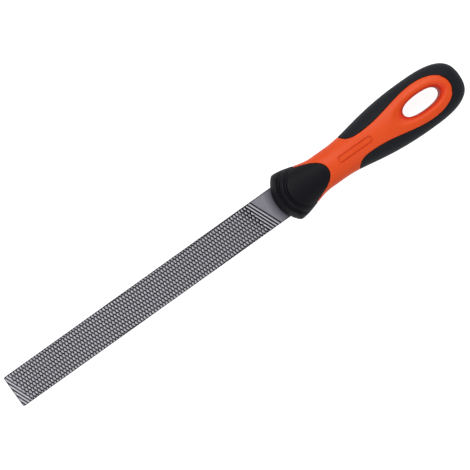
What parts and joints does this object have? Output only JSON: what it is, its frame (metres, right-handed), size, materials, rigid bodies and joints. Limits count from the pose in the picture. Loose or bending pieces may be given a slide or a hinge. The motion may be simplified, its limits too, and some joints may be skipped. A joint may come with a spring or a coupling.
{
  "type": "flat file",
  "caption": "Flat hand file with a parallel double-cut steel blade and a two-material swelling handle with a soft collar, a soft tail grip and a long hanging hole.",
  "frame": {"origin": "centre of the flat end face at the blade's tip, on the file's axis", "axes": "+X along the file from the tip towards the handle, +Y across the blade's width, +Z out of the upper toothed face"},
  "size_m": [0.3186, 0.0332, 0.0272],
  "materials": {
    "hardened_steel": "ground and cut, uncoated",
    "orange_polypropylene": "moulded, satin",
    "collar_elastomer": "moulded, matt",
    "grip_elastomer": "moulded, matt"
  },
  "bodies": {
    "root": {"file_blade": "hardened_steel", "handle_core": "orange_polypropylene", "front_collar": "collar_elastomer", "tail_grip": "grip_elastomer"}
  },
  "joints": []
}
